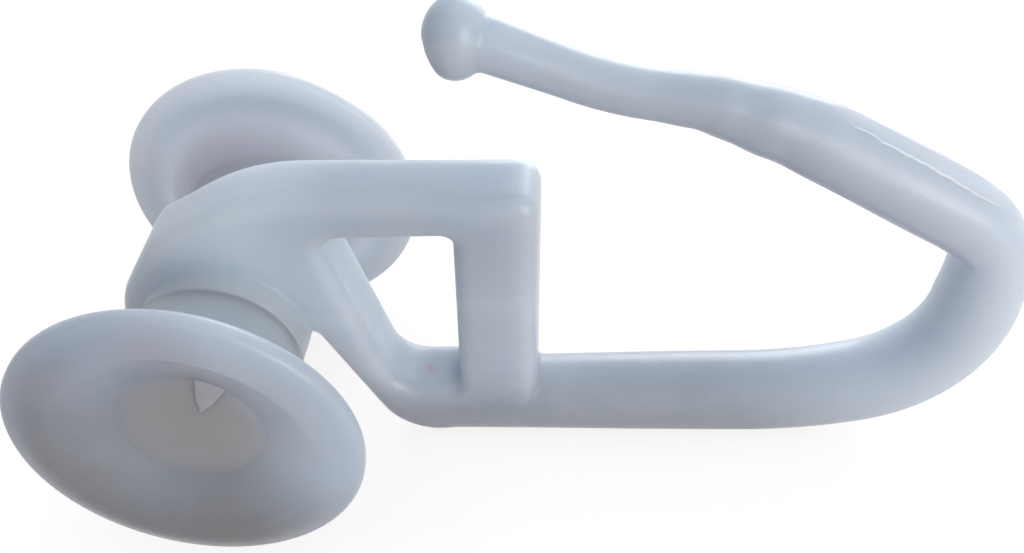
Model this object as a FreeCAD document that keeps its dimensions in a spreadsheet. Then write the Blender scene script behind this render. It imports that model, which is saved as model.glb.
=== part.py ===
"""Curtain glider: a moulded hook with an eye, carried by two dished push-on wheels.

Frame in millimetres: origin at the centre of the axle, +X along the shank,
+Y along the axle from the front wheel to the rear wheel, +Z up.
"""
import FreeCAD, Part
import os
import Sketcher

X_AXIS = FreeCAD.Vector(1, 0, 0)
ORIGIN = -1

DIMENSIONS = {
    # Wheels, measured from the middle plane outwards
    "wheel_r": 5.0,
    "face_out": 5.92,
    "tread_w": 0.72,
    "tread_edge": 0.33,
    "lip_r": 3.75,
    "lip_edge": 0.5,
    "floor_r": 2.1,
    "dish_deep": 0.92,
    "floor_edge": 0.4,
    "tread_cut": 0.25,
    "back_lip_r": 4.35,
    "back_step": 0.2,
    "web_fall": 0.95,
    "web_cut": 0.4,
    "collar_r": 2.5,
    "collar_edge": 0.1,
    "gate_deg": 59.0,
    "gate_w": 0.85,
    "gate_far": 2.1,
    "gate_tip": 0.93,
    "gate_h": 0.3,
    # Axle stubs and their fit in the wheels
    "axle_r": 1.0,
    "run_gap": 0.05,
    "end_gap": 0.1,
    "barb_h": 0.26,
    "barb_len": 0.45,
    "barb_lead": 0.1,
    "barb_room": 0.65,
    "floor_t": 0.5,
    "boss_r": 2.52,
    "boss_out": 1.9,
    "boss_edge": 0.1,
    # Eye plate
    "plate_t": 2.3,
    "plate_edge": 0.5,
    "hub_r": 3.2,
    "hub_x": -0.05,
    "hub_z": -0.1,
    "shoulder_x": -1.6,
    "shoulder_z": 3.25,
    "shoulder_r": 1.2,
    "crest_deg": 28.0,
    "crest_r": 6.0,
    "bar_top": 4.9,
    "bar_fall": 0.25,
    "bar_h": 1.6,
    "arm_off": 2.3,
    "arm_deg": 23.0,
    "heel_r": 2.0,
    "toe_rise": 0.45,
    "eye_left": 3.45,
    "eye_deg": 12.5,
    "eye_floor": 3.02,
    "eye_corner_r": 0.55,
    "eye_heel_r": 1.1,
    "eye_post_r": 0.3,
    "armpit_r": 0.5,
    "post_x": 7.98,
    "post_w": 2.45,
    "post_deg": 4.5,
    "post_corner_r": 0.45,
    # Rod of the hook: centre line and thickness
    "shank_z": 4.27,
    "shank_x": 5.9,
    "shank_len": 9.9,
    "ease_r": 14.0,
    "ease_deg": 15.0,
    "bend_r": 4.0,
    "bend_deg": 69.0,
    "riser_len": 0.75,
    "crook_r": 3.0,
    "crook_deg": 63.5,
    "prong_len": 4.25,
    "hump_r": 9.0,
    "hump_deg": 10.0,
    "hump_len": 1.3,
    "swell_r": 5.0,
    "swell_deg": 10.5,
    "slim_len": 1.1,
    "flick_r": 9.3,
    "flick_deg": 13.0,
    "tip_len": 2.5,
    "rod_root_d": 2.4,
    "rod_shank_d": 2.54,
    "rod_crook_d": 2.24,
    "rod_prong_d": 2.1,
    "rod_slim_d": 1.56,
    "rod_neck_d": 1.34,
    "rod_tip_d": 1.44,
    "bulb_r": 0.95,
    "bulb_len": 0.88,
    "bulb_out": 0.55,
    "facet_cut": 0.13,
    "facet_deg": 2.2,
    "facet_back": 3.2,
    "facet_front": 1.9,
}


# Depths in the wheel, from the middle plane outwards
FLOOR_OUT = "(face_out - dish_deep)"
BACK_LIP_OUT = "(face_out - tread_w - back_step)"
WEB_ROOT_OUT = f"({BACK_LIP_OUT} - web_fall)"
BORE_OUT = f"({FLOOR_OUT} - floor_t)"
BARB_OUT = f"({BORE_OUT} - barb_room)"

# Elements of the rod's centre line: kind, size, turn, and thickness at the start and at the end
RUNS = [
    ("line", "shank_len", None, "rod_root_d", "rod_shank_d"),
    ("left", "ease_r", "ease_deg", "rod_shank_d", "rod_shank_d"),
    ("left", "bend_r", "bend_deg", "rod_shank_d", "rod_shank_d"),
    ("line", "riser_len", None, "rod_shank_d", "rod_crook_d"),
    ("left", "crook_r", "crook_deg", "rod_crook_d", "rod_crook_d"),
    ("line", "prong_len", None, "rod_crook_d", "rod_prong_d"),
    ("left", "hump_r", "hump_deg", "rod_prong_d", "rod_prong_d"),
    ("line", "hump_len", None, "rod_prong_d", "rod_slim_d"),
    ("left", "swell_r", "swell_deg", "rod_slim_d", "rod_slim_d"),
    ("line", "slim_len", None, "rod_slim_d", "rod_neck_d"),
    ("right", "flick_r", "flick_deg", "rod_neck_d", "rod_neck_d"),
    ("line", "tip_len", None, "rod_neck_d", "rod_tip_d"),
]
PRONG = "Edge6"
TIP = "Edge12"


def new_sheet(doc):
    """Write the driving dimensions, one row each, and give them aliases."""
    sheet = doc.addObject("Spreadsheet::Sheet", "sheet")
    for row, (alias, value) in enumerate(DIMENSIONS.items(), start=1):
        sheet.set(f"A{row}", alias)
        sheet.set(f"B{row}", str(value))
        sheet.setAlias(f"B{row}", alias)
    doc.recompute()
    return sheet


def bound(text):
    """Point every dimension name in a formula at its cell of the sheet."""
    out = []
    word = ""
    for char in text + " ":
        if char.isalnum() or char == "_":
            word += char
            continue
        out.append(f"sheet.{word}" if word in DIMENSIONS else word)
        out.append(char)
        word = ""
    return "".join(out).strip()


def plane(body, role):
    """Return the body's own origin plane with this role."""
    for feature in body.Origin.OriginFeatures:
        if feature.Role == role:
            return feature
    raise RuntimeError(f"no origin plane {role}")


def new_sketch(body, name, role):
    """Add a sketch on one of the body's origin planes."""
    sketch = body.newObject("Sketcher::SketchObject", name)
    sketch.AttachmentSupport = [(plane(body, role), "")]
    sketch.MapMode = "FlatFace"
    return sketch


def constrain(sketch, kind, refs, formula):
    """Add one dimensional constraint and bind it to a formula of the sheet."""
    value = sketch.evalExpression(bound(formula))
    value = getattr(value, "Value", value)
    if kind == "Angle":
        value = FreeCAD.Units.Quantity(f"{value} deg")
    index = sketch.addConstraint(Sketcher.Constraint(kind, *refs, value))
    unit = " * 1 deg" if kind == "Angle" else ""
    sketch.setExpression(f"Constraints[{index}]", bound(formula) + unit)


def evaluate(sketch, formula):
    """Return a formula's present value as a number."""
    value = sketch.evalExpression(bound(formula))
    return float(getattr(value, "Value", value))


def pin_point(sketch, geo, end, across, up):
    """Fix one end of a sketch element by two formulas from the origin."""
    constrain(sketch, "DistanceX", (ORIGIN, 1, geo, end), across)
    constrain(sketch, "DistanceY", (ORIGIN, 1, geo, end), up)


def outline(sketch, corners, arcs=()):
    """Draw a closed outline through corners given as formulas.

    arcs maps the index of a side to the formula of its radius and to the
    formulas of its centre, for the sides that are round.
    """
    arcs = dict(arcs)
    points = [FreeCAD.Vector(evaluate(sketch, a), evaluate(sketch, b), 0) for a, b in corners]
    count = len(points)
    starts = []
    for side in range(count):
        first, last = points[side], points[(side + 1) % count]
        if side in arcs:
            radius, mid_a, mid_b = (evaluate(sketch, text) for text in arcs[side])
            middle = FreeCAD.Vector(mid_a, mid_b, 0)
            curve = Part.Circle(middle, FreeCAD.Vector(0, 0, 1), radius)
            begin, end = curve.parameter(first), curve.parameter(last)
            geo = sketch.addGeometry(Part.ArcOfCircle(curve, begin, end), False)
        else:
            geo = sketch.addGeometry(Part.LineSegment(first, last), False)
        starts.append(geo)
    for side in range(count):
        sketch.addConstraint(Sketcher.Constraint("Coincident", starts[side], 2, starts[(side + 1) % count], 1))
    for side, (across, up) in enumerate(corners):
        pin_point(sketch, starts[side], 1, across, up)
    for side, (radius, _, _) in arcs.items():
        constrain(sketch, "Radius", (starts[side],), radius)


def pad(body, name, sketch, length):
    """Pad a sketch evenly to both sides of its plane."""
    feature = body.newObject("PartDesign::Pad", name)
    feature.Profile = sketch
    feature.SideType = "Symmetric"
    feature.setExpression("Length", bound(length))
    body.Document.recompute()
    return feature


def fillet(body, name, wanted, radius):
    """Round the edges of the body's present shape that satisfy a test."""
    base = body.Tip
    edges = enumerate(base.Shape.Edges, start=1)
    names = [f"Edge{i}" for i, edge in edges if not edge.Degenerated and wanted(edge)]
    if not names:
        raise RuntimeError(f"no edges for {name}")
    feature = body.newObject("PartDesign::Fillet", name)
    feature.Base = (base, names)
    feature.setExpression("Radius", bound(radius))
    body.Document.recompute()
    return feature


def across_at(x, z, tolerance=1e-4):
    """Test for an edge that runs along Y through the point (x, z)."""
    def test(edge):
        ends = [vertex.Point for vertex in edge.Vertexes]
        return len(ends) == 2 and all(
            abs(end.x - x) < tolerance and abs(end.z - z) < tolerance for end in ends
        )
    return test


def on_faces(half, buried_x, buried_z):
    """Test for an edge in the faces at Y = half and Y = -half, apart from those inside the rod."""
    def test(edge):
        ends = [edge.valueAt(edge.FirstParameter), edge.valueAt(edge.LastParameter)]
        if all(end.x > buried_x - 1e-4 and end.z < buried_z + 1e-4 for end in ends):
            return False
        return all(abs(abs(end.y) - half) < 1e-5 for end in ends)
    return test


def ring_at(radius, out):
    """Test for a circle about the axle with this radius, this far out from the middle plane."""
    def test(edge):
        if not isinstance(edge.Curve, Part.Circle):
            return False
        middle = edge.Curve.Center
        return (
            abs(edge.Curve.Radius - radius) < 1e-4
            and abs(abs(middle.y) - out) < 1e-4
            and abs(middle.x) < 1e-4
            and abs(middle.z) < 1e-4
        )
    return test


def eye_plate(body):
    """Add the plate: hub disc, top bar, arm and post round the eye, with rounded edges."""
    out_x = "(shoulder_x - hub_x)"
    out_z = "(shoulder_z - hub_z)"
    reach = f"({out_x} ^ 2 + {out_z} ^ 2)"
    slide = f"sqrt({reach} - hub_r ^ 2)"
    touch_x = f"hub_x + hub_r / {reach} * (hub_r * {out_x} - {slide} * {out_z})"
    touch_z = f"hub_z + hub_r / {reach} * (hub_r * {out_z} + {slide} * {out_x})"
    crest_x = "shoulder_x + (bar_top - shoulder_z) / tan(crest_deg)"
    bar_end = "(bar_top - bar_fall)"
    hub_off = "(arm_off - hub_x * cos(arm_deg) - hub_z * sin(arm_deg))"
    run = f"sqrt(hub_r ^ 2 - {hub_off} ^ 2)"
    arm_x = f"hub_x + {hub_off} * cos(arm_deg) + {run} * sin(arm_deg)"
    arm_z = f"hub_z + {hub_off} * sin(arm_deg) - {run} * cos(arm_deg)"
    base = "(shank_z + rod_root_d / 2)"
    heel_x = f"arm_off / cos(arm_deg) + {base} * tan(arm_deg)"
    eye_top = "(bar_top - bar_h)"
    eye_low_x = f"eye_left + ({eye_top} + eye_floor) * tan(eye_deg)"
    post_left = "post_x - post_w / 2"
    post_right = "post_x + post_w / 2"
    rim = [
        (f"{post_right} + ({bar_end} + shank_z) * tan(post_deg)", bar_end),
        (crest_x, "bar_top"),
        ("shoulder_x", "shoulder_z"),
        (touch_x, touch_z),
        (arm_x, arm_z),
        (heel_x, f"-{base}"),
        (post_left, f"toe_rise - {base}"),
        (post_left, "-shank_z"),
        (post_right, "-shank_z"),
    ]
    eye = [
        ("eye_left", eye_top),
        (f"{post_left} + ({eye_top} + shank_z) * tan(post_deg)", eye_top),
        (f"{post_left} + (shank_z - eye_floor) * tan(post_deg)", "-eye_floor"),
        (eye_low_x, "-eye_floor"),
    ]
    rim = [(degrees(a), degrees(b)) for a, b in rim]
    eye = [(degrees(a), degrees(b)) for a, b in eye]
    sketch = new_sketch(body, "plate_outline", "XZ_Plane")
    outline(sketch, rim, {3: ("hub_r", "hub_x", "hub_z")})
    outline(sketch, eye)
    pad(body, "plate", sketch, "plate_t")
    rounds = [
        ("post_corner", rim[0], "post_corner_r"),
        ("crest", rim[1], "crest_r"),
        ("shoulder", rim[2], "shoulder_r"),
        ("armpit", rim[4], "armpit_r"),
        ("heel", rim[5], "heel_r"),
        ("eye_corner", eye[0], "eye_corner_r"),
        ("eye_post_top", eye[1], "eye_post_r"),
        ("eye_post_foot", eye[2], "eye_post_r"),
        ("eye_heel", eye[3], "eye_heel_r"),
    ]
    for name, (across, up), radius in rounds:
        fillet(body, name, across_at(evaluate(sketch, across), evaluate(sketch, up)), radius)
    half = evaluate(sketch, "plate_t / 2")
    buried_x = evaluate(sketch, post_left)
    buried_z = evaluate(sketch, "-shank_z")
    fillet(body, "plate_rounding", on_faces(half, buried_x, buried_z), "plate_edge")


def degrees(formula):
    """Give the angle names in a formula their unit."""
    for name in DIMENSIONS:
        if name.endswith("_deg"):
            formula = formula.replace(f"({name})", f"({name} * 1 deg)")
    return formula


def rod_path(body):
    """Draw the hook's centre line as runs and arcs that meet without a corner."""
    sketch = new_sketch(body, "rod_path", "XZ_Plane")
    at = FreeCAD.Vector(evaluate(sketch, "shank_x"), evaluate(sketch, "-shank_z"), 0)
    heading = 0.0
    turn_axis = FreeCAD.Vector(0, 0, 1)
    joints = []
    for kind, size, sweep, _, _ in RUNS:
        along = FreeCAD.Rotation(turn_axis, heading).multVec(X_AXIS)
        side = FreeCAD.Rotation(turn_axis, heading + 90).multVec(X_AXIS)
        length = evaluate(sketch, size)
        if kind == "line":
            end = at + along * length
            geo = sketch.addGeometry(Part.LineSegment(at, end), False)
            joints.append((geo, 1, 2))
            at = end
            continue
        turn = evaluate(sketch, sweep) * (1 if kind == "left" else -1)
        middle = at + side * (length if kind == "left" else -length)
        end = middle + FreeCAD.Rotation(turn_axis, turn).multVec(at - middle)
        curve = Part.Circle(middle, turn_axis, length)
        first, last = (at, end) if kind == "left" else (end, at)
        geo = sketch.addGeometry(Part.ArcOfCircle(curve, curve.parameter(first), curve.parameter(last)), False)
        joints.append((geo, 1, 2) if kind == "left" else (geo, 2, 1))
        at = end
        heading += turn
    for (geo, _, finish), (other, start, _) in zip(joints, joints[1:]):
        sketch.addConstraint(Sketcher.Constraint("Tangent", geo, finish, other, start))
    pin_point(sketch, joints[0][0], 1, "shank_x", "-shank_z")
    sketch.addConstraint(Sketcher.Constraint("Horizontal", joints[0][0]))
    for (kind, size, sweep, _, _), (geo, _, _) in zip(RUNS, joints):
        if kind == "line":
            constrain(sketch, "Distance", (geo,), size)
        else:
            constrain(sketch, "Radius", (geo,), size)
            constrain(sketch, "Angle", (geo,), sweep)
    body.Document.recompute()
    return sketch


def section(body, name, path, edge, place, diameter):
    """Draw a round section of the rod, square to one element of the path."""
    sketch = body.newObject("Sketcher::SketchObject", name)
    ride_on(sketch, path, edge, place)
    geo = sketch.addGeometry(Part.Circle(FreeCAD.Vector(), FreeCAD.Vector(0, 0, 1), 1.0), False)
    sketch.addConstraint(Sketcher.Constraint("Coincident", geo, 3, ORIGIN, 1))
    constrain(sketch, "Diameter", (geo,), diameter)
    return sketch


def rod(body):
    """Build the rod along its centre line: rounded root, tapered runs and round bends."""
    path = rod_path(body)
    for index, (kind, size, _, first, last) in enumerate(RUNS, start=1):
        edge = f"Edge{index}"
        if kind == "line":
            feature = body.newObject("PartDesign::AdditiveCone", f"rod_run_{index}")
            ride_on(feature, path, edge, 1.0)
            feature.setExpression("Radius1", bound(f"{last} / 2"))
            feature.setExpression("Radius2", bound(f"{first} / 2"))
            feature.setExpression("Height", bound(size))
        else:
            start = 0.0 if kind == "left" else 1.0
            round_section = section(body, f"rod_section_{index}", path, edge, start, first)
            feature = body.newObject("PartDesign::AdditivePipe", f"rod_bend_{index}")
            feature.Profile = round_section
            feature.Spine = (path, [edge])
    root = body.newObject("PartDesign::AdditiveSphere", "rod_root")
    ride_on(root, path, "Edge1", 0.0)
    root.setExpression("Radius", bound("rod_root_d / 2"))
    body.Document.recompute()
    return path


def ride_on(feature, path, edge, place):
    """Attach a solid to the path, square to one of its elements."""
    feature.AttachmentSupport = [(path, edge)]
    feature.MapMode = "NormalToEdge"
    feature.MapPathParameter = place


def bulb(body, path):
    """Add the bulb that keeps the tip from snagging the tape."""
    feature = body.newObject("PartDesign::AdditiveEllipsoid", "bulb")
    ride_on(feature, path, TIP, 1.0)
    feature.setExpression("AttachmentOffset.Base.z", bound("-bulb_out"))
    feature.setExpression("Radius1", bound("bulb_len"))
    feature.setExpression("Radius2", bound("bulb_r"))
    feature.setExpression("Radius3", bound("bulb_r"))
    body.Document.recompute()


def facet(body, path):
    """Flatten the outside of the crook, where the moulding was trimmed."""
    before = body.Shape.Volume
    feature = body.newObject("PartDesign::SubtractiveBox", "facet")
    ride_on(feature, path, PRONG, 0.0)
    feature.AttachmentOffset = FreeCAD.Placement(FreeCAD.Vector(), FreeCAD.Rotation(X_AXIS, 1))
    feature.setExpression("AttachmentOffset.Rotation.Angle", bound("facet_deg * 1 deg"))
    feature.setExpression("AttachmentOffset.Base.x", bound("-rod_shank_d / 2"))
    rise = degrees("rod_crook_d / 2 - facet_cut + facet_back * tan(facet_deg)")
    feature.setExpression("AttachmentOffset.Base.y", bound(rise))
    feature.setExpression("AttachmentOffset.Base.z", bound("-facet_back"))
    feature.setExpression("Length", bound("rod_shank_d"))
    feature.setExpression("Width", bound("rod_shank_d"))
    feature.setExpression("Height", bound("facet_back + facet_front"))
    body.Document.recompute()
    if not 0 < before - body.Shape.Volume < 5:
        raise RuntimeError("the facet does not shave the crook")


def axle(body):
    """Add the bosses and the barbed stubs that the wheels snap on to."""
    profile = new_sketch(body, "axle_profile", "XY_Plane")
    rear = [
        ("boss_r", "boss_out - boss_edge"),
        ("boss_r - boss_edge", "boss_out"),
        ("axle_r", "boss_out"),
        ("axle_r", BARB_OUT),
        ("axle_r + barb_h", BARB_OUT),
        ("axle_r - barb_lead", f"{BARB_OUT} + barb_len"),
        ("0", f"{BARB_OUT} + barb_len"),
    ]
    front = [(across, f"-({out})") for across, out in reversed(rear)]
    outline(profile, front + rear)
    revolve(body, "axle", profile)


def revolve(body, name, sketch):
    """Turn a profile about the axle."""
    feature = body.newObject("PartDesign::Revolution", name)
    feature.Profile = sketch
    feature.ReferenceAxis = (sketch, ["V_Axis"])
    feature.Angle = 360
    body.Document.recompute()


def build_hook(doc):
    """Build the one-piece hook with its eye, bosses and axle stubs."""
    body = doc.addObject("PartDesign::Body", "hook")
    body.Label = "hook"
    eye_plate(body)
    path = rod(body)
    facet(body, path)
    bulb(body, path)
    axle(body)
    return body


def build_wheel(doc, name, side):
    """Build one dished wheel; side is -1 for the front wheel and 1 for the rear wheel."""
    body = doc.addObject("PartDesign::Body", name)
    body.Label = name
    collar_in = "boss_out + end_gap"
    undercut = f"{BARB_OUT} - end_gap"
    corners = [
        ("0", FLOOR_OUT),
        ("floor_r", FLOOR_OUT),
        ("lip_r", "face_out"),
        ("wheel_r", "face_out"),
        ("wheel_r", "face_out - tread_w + tread_cut"),
        ("wheel_r - tread_cut", "face_out - tread_w"),
        ("back_lip_r", BACK_LIP_OUT),
        ("collar_r + web_cut", f"{WEB_ROOT_OUT} + web_cut * web_fall / (back_lip_r - collar_r)"),
        ("collar_r", f"{WEB_ROOT_OUT} - web_cut"),
        ("collar_r", f"{collar_in} + collar_edge"),
        ("collar_r - collar_edge", collar_in),
        ("axle_r + run_gap", collar_in),
        ("axle_r + run_gap", undercut),
        ("axle_r + barb_h + end_gap", undercut),
        ("axle_r + barb_h + end_gap", BORE_OUT),
        ("0", BORE_OUT),
    ]
    profile = new_sketch(body, f"{name}_profile", "XY_Plane")
    outline(profile, [(across, f"{side} * ({out})") for across, out in corners])
    revolve(body, f"{name}_turned", profile)
    rounds = [
        ("floor", 1, "floor_edge"),
        ("lip", 2, "lip_edge"),
        ("tread", 3, "tread_edge"),
    ]
    for part, index, radius in rounds:
        ring = ring_at(*(evaluate(profile, text) for text in corners[index]))
        fillet(body, f"{name}_{part}", ring, radius)
    gate = new_sketch(body, f"{name}_gate_outline", "XZ_Plane")
    gate.setExpression("AttachmentOffset.Base.z", bound(f"{-side} * ({FLOOR_OUT} - gate_h)"))
    stub = [("gate_far", "gate_w / 2"), ("gate_tip", "gate_w / 8"), ("gate_far", "-gate_w / 2")]
    outline(gate, [
        (
            degrees(f"{out} * cos(gate_deg) - {aside} * sin(gate_deg)"),
            degrees(f"{out} * sin(gate_deg) + {aside} * cos(gate_deg)"),
        )
        for out, aside in stub
    ])
    feature = body.newObject("PartDesign::Pad", f"{name}_gate")
    feature.Profile = gate
    feature.Reversed = side > 0
    feature.setExpression("Length", bound("2 * gate_h"))
    body.Document.recompute()
    return body


def build_model():
    """Build the document and return its sub-parts."""
    doc = FreeCAD.newDocument("curtain_glider")
    new_sheet(doc)
    bodies = [
        build_hook(doc),
        build_wheel(doc, "front_wheel", -1),
        build_wheel(doc, "rear_wheel", 1),
    ]
    for body in bodies:
        body.Placement = FreeCAD.Placement()
    doc.recompute()
    for item in doc.Objects:
        if "Invalid" in item.State or "Error" in item.State:
            raise RuntimeError(f"{item.Name}: {item.State}")
    return bodies


def write_parts(bodies):
    """Check each sub-part's shape, then write it as STEP."""
    for body in bodies:
        shape = body.Shape
        if shape.isNull() or not shape.isValid() or len(shape.Solids) != 1:
            raise RuntimeError(f"{body.Label}: not one valid solid")
    os.makedirs("parts", exist_ok=True)
    for body in bodies:
        body.Shape.exportStep(f"parts/{body.Label}.step")
        print(f"{body.Label}: {body.Shape.Volume:.2f} mm3")


write_parts(build_model())
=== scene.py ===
"""Looks of the curtain glider: a milky moulded hook carried by two dished push-on wheels.

The scene is in metres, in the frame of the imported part: origin in the middle of the axle,
+X along the shank, +Y from the front wheel to the rear wheel, +Z up. Sizes are written in
millimetres and scaled where a mesh is made. Only the lamps are placed in metres.
"""
from __future__ import annotations

import logging
import math
from dataclasses import dataclass, field
from enum import Enum
from typing import Sequence

import bmesh
import bpy
from mathutils import Euler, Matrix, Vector, noise
from mathutils.bvhtree import BVHTree

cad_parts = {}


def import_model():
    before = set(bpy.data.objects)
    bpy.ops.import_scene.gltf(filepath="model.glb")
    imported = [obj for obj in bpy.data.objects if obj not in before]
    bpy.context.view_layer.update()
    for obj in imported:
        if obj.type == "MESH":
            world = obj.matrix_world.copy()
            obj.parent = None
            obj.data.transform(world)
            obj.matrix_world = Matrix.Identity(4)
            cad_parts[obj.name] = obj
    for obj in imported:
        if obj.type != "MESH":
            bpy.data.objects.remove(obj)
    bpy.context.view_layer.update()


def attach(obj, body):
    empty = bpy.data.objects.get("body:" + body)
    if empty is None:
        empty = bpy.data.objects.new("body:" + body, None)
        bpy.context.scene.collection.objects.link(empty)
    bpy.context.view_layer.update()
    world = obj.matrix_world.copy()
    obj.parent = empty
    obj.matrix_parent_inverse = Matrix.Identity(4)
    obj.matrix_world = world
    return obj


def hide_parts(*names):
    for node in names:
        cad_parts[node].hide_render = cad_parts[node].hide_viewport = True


LOG = logging.getLogger("curtain_glider")
MM = 0.001
LEAST_STEPS = 4

Pair = tuple[float, float]
Triple = tuple[float, float, float]
Colour = tuple[float, float, float]


class Body(Enum):
    """Bodies of the part that pieces ride on; the CAD nodes have the same names."""

    HOOK = "hook"
    FRONT_WHEEL = "front_wheel"
    REAR_WHEEL = "rear_wheel"


class Slot(Enum):
    """Material slots of the record."""

    HOOK = "hook_plastic"
    WHEEL = "wheel_plastic"


class Axis(Enum):
    """Axes of the part's frame."""

    X = "X"
    Y = "Y"
    Z = "Z"


class Graph:
    """A node tree with short calls for adding and joining nodes."""

    def __init__(self, tree: bpy.types.NodeTree) -> None:
        """Start from an empty tree."""
        self.tree = tree
        tree.nodes.clear()

    def add(self, kind: str, values: dict[str, object] | None = None, **settings: object) -> bpy.types.Node:
        """Add a node.

        Args:
            kind: Blender's name of the node type.
            values: Input sockets by name, each a constant or an output socket to join.
            settings: Properties of the node itself.

        Returns:
            The new node.
        """
        node = self.tree.nodes.new(kind)
        for name, setting in settings.items():
            setattr(node, name, setting)
        for name, value in (values or {}).items():
            self.feed(node, name, value)
        return node

    def feed(self, node: bpy.types.Node, name: str, value: object) -> None:
        """Set an input socket to a constant, or join an output socket to it.

        Args:
            node: The node that has the input.
            name: Name of the input socket.
            value: A constant or an output socket.
        """
        target = next(socket for socket in node.inputs if socket.name == name and socket.enabled)
        if isinstance(value, bpy.types.NodeSocket):
            self.tree.links.new(value, target)
        else:
            target.default_value = value

    def mix(self, factor: object, first: object, second: object) -> bpy.types.NodeSocket:
        """Blend two colours.

        Args:
            factor: Share of the second colour, 0 to 1.
            first: Colour at 0.
            second: Colour at 1.

        Returns:
            The blended colour.
        """
        node = self.add("ShaderNodeMix", data_type="RGBA")
        self.feed(node, "Factor", factor)
        self.feed(node, "A", first if isinstance(first, bpy.types.NodeSocket) else (*first, 1.0))
        self.feed(node, "B", second if isinstance(second, bpy.types.NodeSocket) else (*second, 1.0))
        return next(socket for socket in node.outputs if socket.enabled)

    def ramp(self, value: object, low: Pair, high: Pair) -> bpy.types.NodeSocket:
        """Map a value smoothly from one range to another.

        Args:
            value: The value to map.
            low: Where the range starts, and the result there.
            high: Where the range ends, and the result there.

        Returns:
            The mapped value.
        """
        node = self.add("ShaderNodeMapRange", interpolation_type="SMOOTHSTEP")
        self.feed(node, "Value", value)
        self.feed(node, "From Min", low[0])
        self.feed(node, "From Max", high[0])
        self.feed(node, "To Min", low[1])
        self.feed(node, "To Max", high[1])
        return node.outputs["Result"]

    def math(self, operation: str, first: object, second: object) -> bpy.types.NodeSocket:
        """Join two values by one arithmetic operation.

        Args:
            operation: Blender's name of the operation.
            first: First value.
            second: Second value.

        Returns:
            The result.
        """
        node = self.add("ShaderNodeMath", operation=operation)
        for socket, value in zip(node.inputs, (first, second)):
            if isinstance(value, bpy.types.NodeSocket):
                self.tree.links.new(value, socket)
            else:
                socket.default_value = value
        return node.outputs[0]

    def seen(self) -> bpy.types.NodeSocket:
        """Tell the rays that see a surface from those that only light others.

        Returns:
            1 for the camera, a reflection or a clear piece, and 0 for other rays.
        """
        path = self.add("ShaderNodeLightPath")
        seen = self.math("MAXIMUM", path.outputs["Is Camera Ray"], path.outputs["Is Glossy Ray"])
        return self.math("MAXIMUM", seen, path.outputs["Is Transmission Ray"])


def node_group(
    name: str,
    inputs: dict[str, float],
    outputs: Sequence[str],
) -> tuple[Graph, bpy.types.Node, bpy.types.Node]:
    """Make an empty shader node group with named sockets of plain values.

    Args:
        name: Name of the group.
        inputs: Input names with their defaults.
        outputs: Output names.

    Returns:
        The group's graph, its input node and its output node.
    """
    tree = bpy.data.node_groups.new(name, "ShaderNodeTree")
    for label, default in inputs.items():
        socket = tree.interface.new_socket(name=label, in_out="INPUT", socket_type="NodeSocketFloat")
        socket.default_value = default
    for label in outputs:
        tree.interface.new_socket(name=label, in_out="OUTPUT", socket_type="NodeSocketFloat")
    graph = Graph(tree)
    return graph, graph.add("NodeGroupInput"), graph.add("NodeGroupOutput")


def milk_cloud_group() -> bpy.types.NodeTree:
    """Build the cloudiness inside the plastic: soft clouds, flow streaks and fine mottle.

    Returns:
        The node group.
    """
    inputs = {"Clouds per Metre": 160.0, "Mottles per Metre": 900.0}
    graph, entry, leave = node_group("milk_cloud", inputs, ("Cloud", "Streak", "Mottle"))
    place = graph.add("ShaderNodeTexCoord").outputs["Object"]
    cloud = graph.add("ShaderNodeTexNoise", {"Vector": place, "Detail": 3.0, "Roughness": 0.45})
    graph.feed(cloud, "Scale", entry.outputs["Clouds per Metre"])
    drawn = graph.add("ShaderNodeMapping", {"Vector": place, "Scale": (0.25, 1.0, 1.0)})
    streak = graph.add("ShaderNodeTexNoise", {"Vector": drawn.outputs["Vector"], "Detail": 2.0})
    graph.feed(streak, "Distortion", 0.6)
    graph.feed(streak, "Scale", graph.math("MULTIPLY", entry.outputs["Clouds per Metre"], 4.0))
    mottle = graph.add("ShaderNodeTexNoise", {"Vector": place, "Detail": 4.0, "Roughness": 0.6})
    graph.feed(mottle, "Scale", entry.outputs["Mottles per Metre"])
    graph.feed(leave, "Cloud", graph.ramp(cloud.outputs["Fac"], (0.34, 0.0), (0.66, 1.0)))
    graph.feed(leave, "Streak", graph.ramp(streak.outputs["Fac"], (0.40, 0.0), (0.68, 1.0)))
    graph.feed(leave, "Mottle", graph.ramp(mottle.outputs["Fac"], (0.35, 0.0), (0.65, 1.0)))
    return graph.tree


def mould_skin_group() -> bpy.types.NodeTree:
    """Build the skin that the mould leaves: fine grain, slow waviness and handling scuffs.

    Returns:
        The node group.
    """
    inputs = {"Grains per Metre": 5000.0, "Waves per Metre": 420.0, "Scuff Share": 0.8}
    graph, entry, leave = node_group("mould_skin", inputs, ("Height", "Dullness"))
    place = graph.add("ShaderNodeTexCoord").outputs["Object"]
    grain = graph.add("ShaderNodeTexNoise", {"Vector": place, "Detail": 2.0})
    graph.feed(grain, "Scale", entry.outputs["Grains per Metre"])
    wave = graph.add("ShaderNodeTexNoise", {"Vector": place, "Detail": 1.0})
    graph.feed(wave, "Scale", entry.outputs["Waves per Metre"])
    scuff = graph.add("ShaderNodeTexNoise", {"Vector": place, "Detail": 2.0, "Distortion": 0.6})
    graph.feed(scuff, "Scale", graph.math("MULTIPLY", entry.outputs["Waves per Metre"], 0.6))
    worn = graph.ramp(scuff.outputs["Fac"], (0.35, 0.0), (0.70, 1.0))
    shallow = graph.math("MULTIPLY", grain.outputs["Fac"], 0.08)
    graph.feed(leave, "Height", graph.math("ADD", shallow, wave.outputs["Fac"]))
    graph.feed(leave, "Dullness", graph.math("MULTIPLY", worn, entry.outputs["Scuff Share"]))
    return graph.tree


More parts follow.
